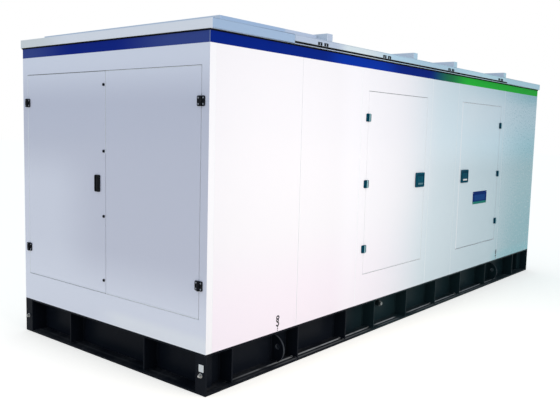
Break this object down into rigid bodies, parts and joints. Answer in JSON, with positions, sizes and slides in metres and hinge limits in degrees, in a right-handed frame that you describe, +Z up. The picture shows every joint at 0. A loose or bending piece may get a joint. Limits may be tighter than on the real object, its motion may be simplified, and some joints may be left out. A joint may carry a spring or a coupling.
{
  "type": "diesel generator",
  "caption": "Weatherproof canopied diesel generator set: white panelled enclosure with hinged side and end doors, coloured top rail, ribbed roof and black channel skid with lifting lugs.",
  "frame": {"origin": "middle of the footprint at ground level", "axes": "+X along the length with the pictured end at -X, the pictured long side at -Y, +Z up"},
  "size_m": [5.052, 1.886, 2.101],
  "materials": {
    "white_paint": "gloss",
    "door_paint": "gloss",
    "black_fittings": "satin",
    "skid_paint": "satin",
    "frame_steel": "satin",
    "rail_paint": "gloss",
    "roof_paint": "gloss",
    "floor_plate": "satin",
    "drain_metal": "satin"
  },
  "bodies": {
    "enclosure": {"front_panel_1": "white_paint", "front_panel_2": "white_paint", "front_panel_3": "white_paint", "front_panel_4": "white_paint", "front_jambs": "white_paint", "front_rails": "white_paint", "back_panels": "white_paint", "back_jambs": "white_paint", "back_rails": "white_paint", "near_posts": "white_paint", "near_rails": "white_paint", "far_posts": "white_paint", "far_rails": "white_paint", "back_doors": "door_paint", "far_doors": "door_paint", "back_door_fittings": "black_fittings", "far_door_fittings": "black_fittings", "hinge_fixed_halves": "black_fittings", "base_side_rails": "skid_paint", "base_end_rails": "skid_paint", "base_corners": "skid_paint", "base_gussets": "skid_paint", "base_cross_members": "skid_paint", "lifting_lugs": "skid_paint", "wall_posts": "frame_steel", "door_stops": "frame_steel", "centre_posts": "frame_steel", "top_rail_front": "rail_paint", "top_rail_back": "rail_paint", "top_rail_ends": "rail_paint", "roof_shell": "roof_paint", "roof_ribs": "roof_paint", "roof_raised_cover": "roof_paint", "eave_covers": "roof_paint", "base_floor": "floor_plate", "drain_outlet": "drain_metal"},
    "front_door_1_body": {"front_door_1": "door_paint", "front_door_1_fittings": "black_fittings"},
    "front_door_2_body": {"front_door_2": "door_paint", "front_door_2_fittings": "black_fittings"},
    "end_door_left_body": {"end_door_left": "door_paint", "end_door_left_fittings": "black_fittings"},
    "end_door_right_body": {"end_door_right": "door_paint", "end_door_right_fittings": "black_fittings"}
  },
  "joints": [
    {"name": "front_door_1_hinge", "type": "hinge", "parent": "enclosure", "child": "front_door_1_body", "pos_m": [-0.93325, -0.928, 1.116], "axis": [0, 0, -1], "range_deg": [0, 120]},
    {"name": "front_door_2_hinge", "type": "hinge", "parent": "enclosure", "child": "front_door_2_body", "pos_m": [1.50325, -0.928, 1.116], "axis": [0, 0, 1], "range_deg": [0, 120]},
    {"name": "end_door_left_hinge", "type": "hinge", "parent": "enclosure", "child": "end_door_left_body", "pos_m": [-2.518, 0.8595, 1.1215], "axis": [0, 0, -1], "range_deg": [0, 120]},
    {"name": "end_door_right_hinge", "type": "hinge", "parent": "enclosure", "child": "end_door_right_body", "pos_m": [-2.518, -0.8595, 1.1215], "axis": [0, 0, 1], "range_deg": [0, 120]}
  ]
}
